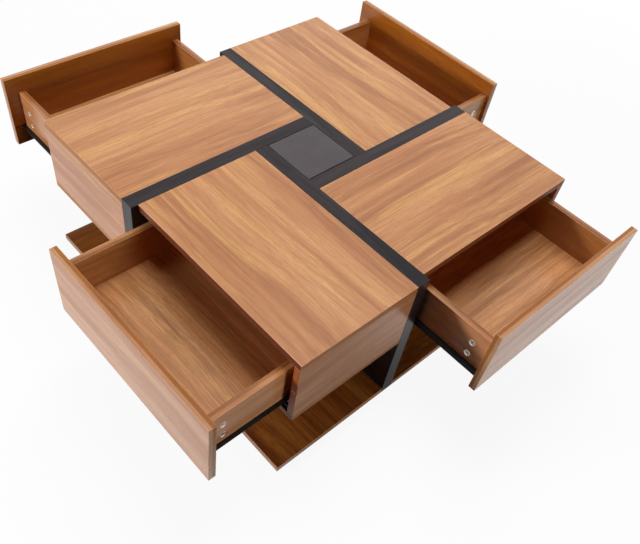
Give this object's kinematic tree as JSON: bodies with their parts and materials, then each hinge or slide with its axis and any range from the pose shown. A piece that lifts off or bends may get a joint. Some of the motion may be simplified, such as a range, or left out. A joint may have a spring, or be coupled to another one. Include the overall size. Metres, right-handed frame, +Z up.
{
  "type": "coffee table with drawers",
  "caption": "Low square coffee table: drawer cases set as a pinwheel between black uprights, sliding drawers, open shelves below and a dark glass square in the middle.",
  "frame": {"origin": "on the floor, below the middle of the glass square", "axes": "+Z up; -Y is the way the front drawer opens and +X the way the right drawer opens"},
  "size_m": [1.14, 1.14, 0.356],
  "materials": {
    "walnut_board": "walnut-grain laminate, satin",
    "black_board": "black wood-grain laminate, matt",
    "drawer_bottom_board": "thin laminated fibreboard, satin",
    "dark_glass": "dark glass, polished",
    "black_steel": "black powder coat, satin",
    "nickel": "nickel plate, slightly dull",
    "nylon": "white nylon",
    "bumper": "pale soft plastic"
  },
  "bodies": {
    "table": {"base_board_front": "walnut_board", "upright_front": "black_board", "case_top_front": "walnut_board", "case_end_front": "walnut_board", "case_floor_front": "walnut_board", "base_board_right": "walnut_board", "upright_right": "black_board", "case_top_right": "walnut_board", "case_end_right": "walnut_board", "case_floor_right": "walnut_board", "base_board_back": "walnut_board", "upright_back": "black_board", "case_top_back": "walnut_board", "case_end_back": "walnut_board", "case_floor_back": "walnut_board", "base_board_left": "walnut_board", "upright_left": "black_board", "case_top_left": "walnut_board", "case_end_left": "walnut_board", "case_floor_left": "walnut_board", "centre_glass": "dark_glass", "glass_cleats": "black_board", "bumpers": "bumper", "case_runners": "black_steel"},
    "drawer_front": {"drawer_face_front": "walnut_board", "drawer_left_side_front": "walnut_board", "drawer_right_side_front": "walnut_board", "drawer_back_front": "walnut_board", "drawer_bottom_front": "drawer_bottom_board", "drawer_runners_front": "black_steel", "drawer_cams_front": "nickel"},
    "case_rollers_front": {"case_rollers_front": "nylon"},
    "drawer_rollers_front": {"drawer_rollers_front": "nylon"},
    "drawer_right": {"drawer_face_right": "walnut_board", "drawer_left_side_right": "walnut_board", "drawer_right_side_right": "walnut_board", "drawer_back_right": "walnut_board", "drawer_bottom_right": "drawer_bottom_board", "drawer_runners_right": "black_steel", "drawer_cams_right": "nickel"},
    "case_rollers_right": {"case_rollers_right": "nylon"},
    "drawer_rollers_right": {"drawer_rollers_right": "nylon"},
    "drawer_back": {"drawer_face_back": "walnut_board", "drawer_left_side_back": "walnut_board", "drawer_right_side_back": "walnut_board", "drawer_back_back": "walnut_board", "drawer_bottom_back": "drawer_bottom_board", "drawer_runners_back": "black_steel", "drawer_cams_back": "nickel"},
    "case_rollers_back": {"case_rollers_back": "nylon"},
    "drawer_rollers_back": {"drawer_rollers_back": "nylon"},
    "drawer_left": {"drawer_face_left": "walnut_board", "drawer_left_side_left": "walnut_board", "drawer_right_side_left": "walnut_board", "drawer_back_left": "walnut_board", "drawer_bottom_left": "drawer_bottom_board", "drawer_runners_left": "black_steel", "drawer_cams_left": "nickel"},
    "case_rollers_left": {"case_rollers_left": "nylon"},
    "drawer_rollers_left": {"drawer_rollers_left": "nylon"}
  },
  "joints": [
    {"name": "drawer_front_slide", "type": "slide", "parent": "table", "child": "drawer_front", "axis": [0, -1, 0], "range_m": [-0.17, 0.015]},
    {"name": "case_rollers_front_turn", "type": "hinge", "parent": "table", "child": "case_rollers_front", "pos_m": [0, -0.37, 0.2185], "axis": [1, 0, 0], "range_deg": [-1100, 120]},
    {"name": "drawer_rollers_front_turn", "type": "hinge", "parent": "drawer_front", "child": "drawer_rollers_front", "pos_m": [0, -0.335, 0.2185], "axis": [1, 0, 0], "range_deg": [-1100, 120]},
    {"name": "drawer_right_slide", "type": "slide", "parent": "table", "child": "drawer_right", "axis": [1, 0, 0], "range_m": [-0.17, 0.015]},
    {"name": "case_rollers_right_turn", "type": "hinge", "parent": "table", "child": "case_rollers_right", "pos_m": [0.37, 0, 0.2185], "axis": [0, 1, 0], "range_deg": [-1100, 120]},
    {"name": "drawer_rollers_right_turn", "type": "hinge", "parent": "drawer_right", "child": "drawer_rollers_right", "pos_m": [0.335, 0, 0.2185], "axis": [0, 1, 0], "range_deg": [-1100, 120]},
    {"name": "drawer_back_slide", "type": "slide", "parent": "table", "child": "drawer_back", "axis": [0, 1, 0], "range_m": [-0.17, 0.015]},
    {"name": "case_rollers_back_turn", "type": "hinge", "parent": "table", "child": "case_rollers_back", "pos_m": [0, 0.37, 0.2185], "axis": [-1, 0, 0], "range_deg": [-1100, 120]},
    {"name": "drawer_rollers_back_turn", "type": "hinge", "parent": "drawer_back", "child": "drawer_rollers_back", "pos_m": [0, 0.335, 0.2185], "axis": [-1, 0, 0], "range_deg": [-1100, 120]},
    {"name": "drawer_left_slide", "type": "slide", "parent": "table", "child": "drawer_left", "axis": [-1, 0, 0], "range_m": [-0.17, 0.015]},
    {"name": "case_rollers_left_turn", "type": "hinge", "parent": "table", "child": "case_rollers_left", "pos_m": [-0.37, 0, 0.2185], "axis": [0, -1, 0], "range_deg": [-1100, 120]},
    {"name": "drawer_rollers_left_turn", "type": "hinge", "parent": "drawer_left", "child": "drawer_rollers_left", "pos_m": [-0.335, 0, 0.2185], "axis": [0, -1, 0], "range_deg": [-1100, 120]}
  ],
  "couplings": [
    {"joint": "case_rollers_front_turn", "follows": "drawer_front_slide", "rad_per_m": 111.11},
    {"joint": "drawer_rollers_front_turn", "follows": "drawer_front_slide", "rad_per_m": 111.11},
    {"joint": "case_rollers_right_turn", "follows": "drawer_right_slide", "rad_per_m": 111.11},
    {"joint": "drawer_rollers_right_turn", "follows": "drawer_right_slide", "rad_per_m": 111.11},
    {"joint": "case_rollers_back_turn", "follows": "drawer_back_slide", "rad_per_m": 111.11},
    {"joint": "drawer_rollers_back_turn", "follows": "drawer_back_slide", "rad_per_m": 111.11},
    {"joint": "case_rollers_left_turn", "follows": "drawer_left_slide", "rad_per_m": 111.11},
    {"joint": "drawer_rollers_left_turn", "follows": "drawer_left_slide", "rad_per_m": 111.11}
  ]
}
